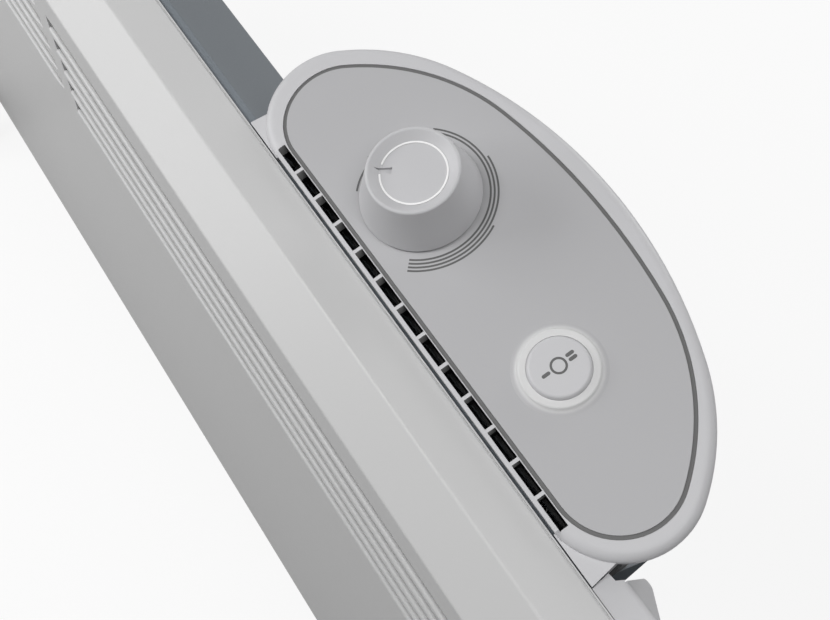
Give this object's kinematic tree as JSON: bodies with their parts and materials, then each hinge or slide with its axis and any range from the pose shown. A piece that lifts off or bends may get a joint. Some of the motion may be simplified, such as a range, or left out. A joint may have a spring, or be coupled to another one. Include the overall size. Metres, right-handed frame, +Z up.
{
  "type": "electric convector heater",
  "caption": "Slim floor-standing convector heater: louvred steel front, sloping rear casing, moulded end caps, and a tilted control head with a thermostat knob and a round rocker switch.",
  "frame": {"origin": "on the floor, under the middle of the feet", "axes": "+X along the heater to its right as seen from the front, +Y from the louvred front to the back, +Z up"},
  "size_m": [0.576, 0.19, 0.4226],
  "materials": {
    "front_enamel": "smooth light-grey enamel on sheet steel",
    "casing_enamel": "fine matt dark-grey enamel on sheet steel",
    "cap_plastic": "light-grey moulded plastic, fine satin",
    "zinc_plate": "bare galvanised sheet",
    "element_alloy": "dark anodised extrusion",
    "terminal_steel": "plain steel pin",
    "ceramic": "white glazed ceramic",
    "black_plastic": "black moulded plastic",
    "base_plastic": "dark-grey moulded plastic, fine grain",
    "housing_plastic": "light-grey moulded plastic, fine satin",
    "panel_plastic": "light-grey moulded plastic, fine satin",
    "knob_plastic": "light-grey moulded plastic, satin",
    "rocker_plastic": "light-grey moulded plastic, satin",
    "terminal_plastic": "white moulded plastic",
    "grommet_rubber": "black rubber",
    "brass": "turned brass",
    "shaft_steel": "turned steel",
    "foot_plastic": "dark-grey moulded plastic, fine grain",
    "pad_rubber": "black rubber",
    "screw_steel": "zinc-plated steel"
  },
  "bodies": {
    "heater": {"front_panel": "front_enamel", "rear_casing": "casing_enamel", "left_end_cap": "cap_plastic", "right_end_cap": "cap_plastic", "left_side_plate": "zinc_plate", "right_side_plate": "zinc_plate", "intake_grille": "zinc_plate", "cutout_bracket": "zinc_plate", "heating_element": "element_alloy", "element_terminals": "terminal_steel", "element_bushes": "ceramic", "overheat_cutout": "black_plastic", "thermostat_body": "black_plastic", "rocker_switch_body": "black_plastic", "cable_gland": "black_plastic", "control_base": "base_plastic", "control_housing": "housing_plastic", "control_panel": "panel_plastic", "terminal_block": "terminal_plastic", "wire_grommet": "grommet_rubber", "thermostat_nut": "brass", "left_foot": "foot_plastic", "right_foot": "foot_plastic", "foot_pads": "pad_rubber", "foot_screws": "screw_steel", "casing_screws": "screw_steel", "bottom_screws": "screw_steel", "cap_screws": "screw_steel", "head_screws": "screw_steel"},
    "knob": {"thermostat_knob": "knob_plastic", "thermostat_shaft": "shaft_steel"},
    "rocker": {"power_rocker": "rocker_plastic"}
  },
  "joints": [
    {"name": "thermostat_turn", "type": "hinge", "parent": "heater", "child": "knob", "pos_m": [0.15, 0.006, 0.405], "axis": [0, -0.2723, 0.9622], "range_deg": [-270, 0]},
    {"name": "rocker_tilt", "type": "hinge", "parent": "heater", "child": "rocker", "pos_m": [0.2106, 0.00654, 0.40308], "axis": [1, 0, 0], "range_deg": [-8, 8]}
  ]
}
